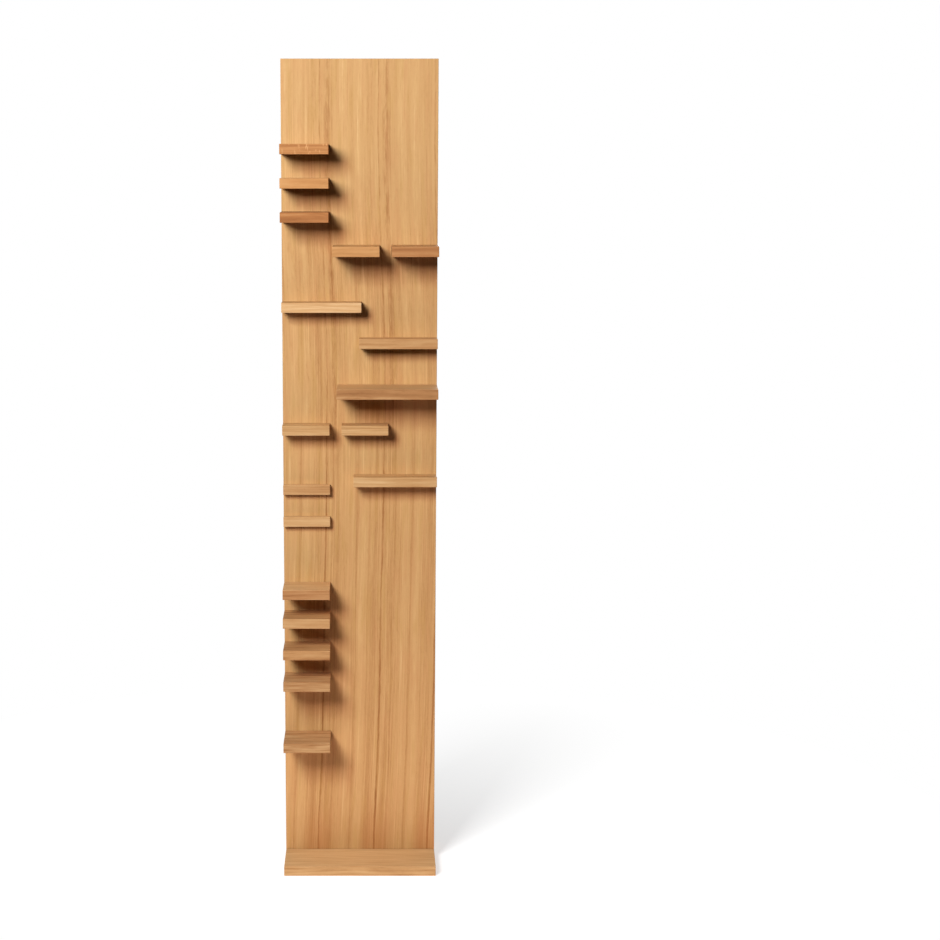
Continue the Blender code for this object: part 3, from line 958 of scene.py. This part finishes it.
def soft_panel(name, place, target, size, power, bounces):
    """A rectangular area lamp that faces the target, whose light is followed for so many bounces."""
    lamp = bpy.data.lights.new(name, "AREA")
    lamp.shape = "RECTANGLE"
    lamp.size, lamp.size_y = size
    lamp.energy = power
    lamp.cycles.max_bounces = bounces
    item = bpy.data.objects.new(name, lamp)
    item.location = place
    item.rotation_euler = Vector((target - place).tolist()).to_track_quat("-Z", "Y").to_euler()
    bpy.context.scene.collection.objects.link(item)
    return item


def warm_on_one_side(lamp):
    """Colour from cool at the lamp's upper left to warm at its lower right, white on the whole."""
    lamp.use_nodes = True
    tree = lamp.node_tree
    side = add(tree, "SeparateXYZ", {0: add(tree, "NewGeometry", {}).outputs["Parametric"]}).outputs
    warmth = calc(tree, "SUBTRACT", side["X"], calc(tree, "MULTIPLY", side["Y"], WARMTH_DOWN))
    warmth = calc(tree, "ADD", warmth, WARMTH_DOWN / 2)
    tree.links.new(mixed(tree, warmth, COOL_SIDE, WARM_SIDE), tree.nodes["Emission"].inputs["Color"])


def lights_only(lamp_item, items):
    """Links the lamp to these pieces alone."""
    lamp_item.light_linking.receiver_collection = bpy.data.collections.new(lamp_item.name + "_lights")
    for item in items:
        lamp_item.light_linking.receiver_collection.objects.link(item)


main_lamp = soft_panel("main_lamp", LAMP_PLACE, LAMP_TARGET, LAMP_SIZE, LAMP_POWER, bounces=1)
warm_on_one_side(main_lamp.data)
lights_only(main_lamp, [panel, base, *shelves.values(), *screws])
print("lamp at", LAMP_PLACE.round(3))

# %% [markdown]
# ## Lamps for the back
# The main lamp leaves the back and the right side in the dark. Two weaker lamps behind the shelf show them.
# The panel keeps their light from the front. Light linking keeps it from the floor, which should show one
# shadow only, and from the screws, whose heads would mirror the lamps and turn plain white.
#
# The wide lamp stands to one side, so that it also reaches the boards' right ends. On the base it would
# shine past the panel's edge onto the part in front, so the base has a lamp of its own, narrower than the
# panel and straight behind it.

# %% The lamps behind
BACK_LAMP_PLACE = np.array([0.9, panel_high[1] + 3.0, 1.0])
BACK_LAMP_TARGET = np.array([0.0, panel_high[1], 0.9])
BACK_LAMP_SIZE = (1.8, 1.8)
BACK_LAMP_POWER = 92.0
BASE_LAMP_PLACE = np.array([0.0, panel_high[1] + 3.0, 1.0])
BASE_LAMP_SIZE = (0.3, 1.8)

back_lamp = soft_panel(
    "back_lamp", BACK_LAMP_PLACE, BACK_LAMP_TARGET, BACK_LAMP_SIZE, BACK_LAMP_POWER, bounces=0
)
above_base = [panel, *shelves.values()]
lights_only(back_lamp, above_base)
base_lamp = soft_panel(
    "base_lamp", BASE_LAMP_PLACE, BACK_LAMP_TARGET, BASE_LAMP_SIZE, BACK_LAMP_POWER, bounces=0
)
lights_only(base_lamp, [base])
print("back lamp lights", len(above_base), "boards, base lamp lights 1")

# %% [markdown]
# ## A white floor that keeps the shadow
# The floor should be pure white, yet show the shadow. A white floor in this light is only about half
# white, and making the lamp stronger would bleach the wood. So the floor glows, for the camera, by just
# what the lamp leaves missing: white less the light that an unshaded point gets. That light is known:
# albedo x power / pi squared x (cosine at the floor) x (cosine at the lamp) / distance squared. Where the
# shelf takes the lamp's light away, the glow stays and the missing light shows as the shadow. The albedo
# fades with the distance, and so does the shadow, as it does in the photograph.
#
# Near the shelf the bright floor also throws its light back up, which fills the shadows of the lowest
# boards and leaves those at the top dark, so there the glow is for every ray, and warm for those that aren't
# seen. Away from the shelf it is for the camera alone. The floor lies a hair below the base, because two
# faces in one plane would flicker.

# %% The floor's glow
FLOOR_ALBEDO = 0.68
PURE_WHITE = (255, 255, 255)
SHADOW_REACH = 1.5
SHADOW_FULL = 0.1
BOUNCE_REACH = 1.3
FULL_BOUNCE = 0.75
WHITE_MARGIN = 1.015
BOUNCE_TINT = (255, 213, 204)
BOUNCE_SHARE = 1.35


def seen_rays(tree):
    """1 for the rays that show the background (camera, gloss and glass) and 0 for the rest."""
    path = add(tree, "LightPath", {}).outputs
    seen = calc(tree, "ADD", path["Is Camera Ray"], path["Is Glossy Ray"])
    return calc(tree, "ADD", seen, path["Is Transmission Ray"], clamp=True)


def lamp_light(tree, place):
    """Light on an unshaded white floor = power / pi squared x height x reach along the aim / distance^4."""
    aim = LAMP_TARGET - LAMP_PLACE
    aim = (aim / np.linalg.norm(aim)).tolist()
    ray = vector(tree, "SUBTRACT", place, LAMP_PLACE.tolist())
    ahead = add(tree, "VectorMath", {0: ray, 1: aim}, operation="DOT_PRODUCT").outputs["Value"]
    level = LAMP_POWER / math.pi**2 * LAMP_PLACE[2]
    strength = calc(tree, "MULTIPLY", ahead, level)
    return calc(tree, "DIVIDE", strength, calc(tree, "POWER", length(tree, ray), 4.0))


def floor_finish():
    """Diffuse white that fades with distance, and a glow of white less the lamp's light, seen or near."""
    material, tree, shader = new_finish("white_floor")
    place = add(tree, "TexCoord", {}).outputs["Object"]
    away = length(tree, place)
    sockets = {"Value": away, "From Min": SHADOW_REACH, "From Max": SHADOW_FULL, "To Max": FLOOR_ALBEDO}
    albedo = add(tree, "MapRange", sockets).outputs[0]
    near = blend(tree, away, BOUNCE_REACH, FULL_BOUNCE)
    lit = calc(tree, "MULTIPLY", lamp_light(tree, place), albedo)
    missing = calc(tree, "SUBTRACT", WHITE_MARGIN, lit, clamp=True)
    seen = seen_rays(tree)
    shown = between(tree, seen, calc(tree, "MULTIPLY", near, BOUNCE_SHARE), 1.0)
    tree.links.new(calc(tree, "MULTIPLY", missing, shown), shader.inputs["Emission Strength"])
    tint = mixed(tree, seen, linear(BOUNCE_TINT), linear(PURE_WHITE))
    tree.links.new(tint, shader.inputs["Emission Color"])
    tree.links.new(albedo, shader.inputs["Base Color"])
    shader.inputs["Roughness"].default_value = 1.0
    shader.inputs["Specular IOR Level"].default_value = 0.0
    return material


print("floor shadow fades out", SHADOW_REACH, "m from the shelf")

# %% The floor
FLOOR_HALF = 9.0
FLOOR_DROP = 0.0003

edge = np.array([-FLOOR_HALF, FLOOR_HALF])
grid_x, grid_y = np.meshgrid(edge, edge)
floor_points = np.stack([grid_x, grid_y, np.full_like(grid_x, -FLOOR_DROP)], axis=-1)
floor = surface("floor", floor_points, [[0, 1, 3, 2]])
floor.data.materials.append(floor_finish())
floor_lamp = soft_panel("floor_lamp", LAMP_PLACE, LAMP_TARGET, LAMP_SIZE, LAMP_POWER, bounces=1)
lights_only(floor_lamp, [floor])
print("floor", 2 * FLOOR_HALF, "m square")

# %% [markdown]
# ## The room
# The room is white where it is seen and only faintly lit otherwise, because the shadows under the upper
# shelves are nearly black-brown. The Light Path node tells the two apart.

# %% The world
ROOM_FILL = 0.006


def room():
    """White for camera, glossy and transmission rays, and a faint fill for the rest."""
    world = bpy.data.worlds.new("white_room")
    world.use_nodes = True
    tree = world.node_tree
    back = tree.nodes["Background"]
    tree.links.new(between(tree, seen_rays(tree), ROOM_FILL, 1.0), back.inputs["Strength"])
    back.inputs["Color"].default_value = (1.0, 1.0, 1.0, 1.0)
    return world


bpy.context.scene.world = room()
bpy.context.scene.view_settings.view_transform = "Standard"
print("room fill", ROOM_FILL)

# %% [markdown]
# ## The camera
# The photograph was taken from a little above eye height for the middle shelves, tilted down by nine
# degrees and level, with a fairly long lens. The shelf stands left of the middle of the frame although
# the camera looks straight at it, so the frame is shifted sideways.

# %% The camera's place and lens
CAMERA_PLACE = (0.0215, panel_low[1] - 4.0906, 1.578)
CAMERA_TILT = math.radians(90 - 9.3354)
LENS = 71.43
SENSOR_WIDTH = 36.0
FRAME_SHIFT = 0.1069

camera = bpy.data.cameras.new("photograph")
camera.lens = LENS
camera.sensor_width = SENSOR_WIDTH
camera.shift_x = FRAME_SHIFT
camera_object = bpy.data.objects.new("photograph", camera)
camera_object.location = CAMERA_PLACE
camera_object.rotation_euler = (CAMERA_TILT, 0.0, 0.0)
bpy.context.scene.collection.objects.link(camera_object)
bpy.context.scene.camera = camera_object
print("camera", CAMERA_PLACE, "lens", LENS)
